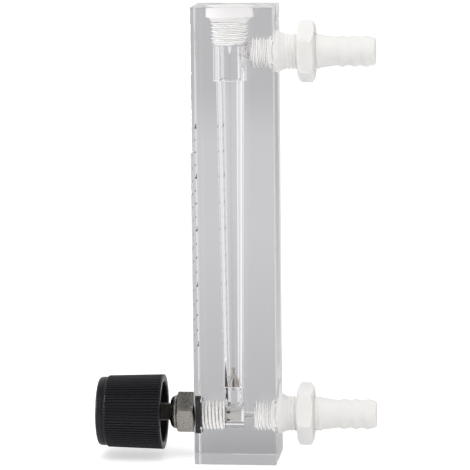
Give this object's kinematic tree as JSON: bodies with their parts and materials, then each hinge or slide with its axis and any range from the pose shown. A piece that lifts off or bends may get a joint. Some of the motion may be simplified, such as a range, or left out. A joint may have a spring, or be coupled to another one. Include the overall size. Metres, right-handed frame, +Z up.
{
  "type": "panel rotameter",
  "caption": "Clear acrylic block flow meter with a tapered bore, a rising float, a needle valve with a knurled knob, and barbed hose fittings.",
  "frame": {"origin": "middle of the clear block's base", "axes": "+Z up along the bore, +Y towards the hose fittings, -Y towards the scale and the valve knob"},
  "size_m": [0.0208, 0.077, 0.125],
  "materials": {
    "clear_acrylic": "polished and clear",
    "scale_ink": "printed",
    "polished_steel": "polished",
    "white_plastic": "moulded satin",
    "nickel_plate": "nickel plated and slightly frosted",
    "turned_brass": "turned",
    "black_rubber": "moulded",
    "seal_plastic": "soft",
    "dark_steel": "blackened",
    "black_plastic": "moulded satin"
  },
  "bodies": {
    "meter": {"meter_block": "clear_acrylic", "flow_scale": "scale_ink", "top_plug": "white_plastic", "outlet_fitting": "white_plastic", "inlet_fitting": "white_plastic", "outlet_nut": "white_plastic", "inlet_nut": "white_plastic", "valve_bonnet": "nickel_plate", "valve_nose": "turned_brass", "valve_seal": "black_rubber", "seat_washer": "seal_plastic"},
    "float": {"float": "polished_steel"},
    "stem_rings": {"outer_stem_seal": "black_rubber", "inner_stem_seal": "black_rubber"},
    "knob": {"valve_stem": "dark_steel", "knob": "black_plastic", "knob_bush": "turned_brass", "knob_cap": "black_plastic", "knob_screw": "dark_steel", "screw_washer": "dark_steel"}
  },
  "joints": [
    {"name": "float_rise", "type": "slide", "parent": "meter", "child": "float", "axis": [0, 0, 1], "range_m": [0, 0.086]},
    {"name": "stem_travel", "type": "slide", "parent": "meter", "child": "stem_rings", "axis": [0, -1, 0], "range_m": [-0.00125, 0.002]},
    {"name": "knob_turn", "type": "hinge", "parent": "stem_rings", "child": "knob", "pos_m": [0, -0.03, 0.0125], "axis": [0, -1, 0], "range_deg": [-900, 1440]}
  ],
  "couplings": [
    {"joint": "stem_travel", "follows": "knob_turn", "m_per_rad": 0.000079577}
  ]
}
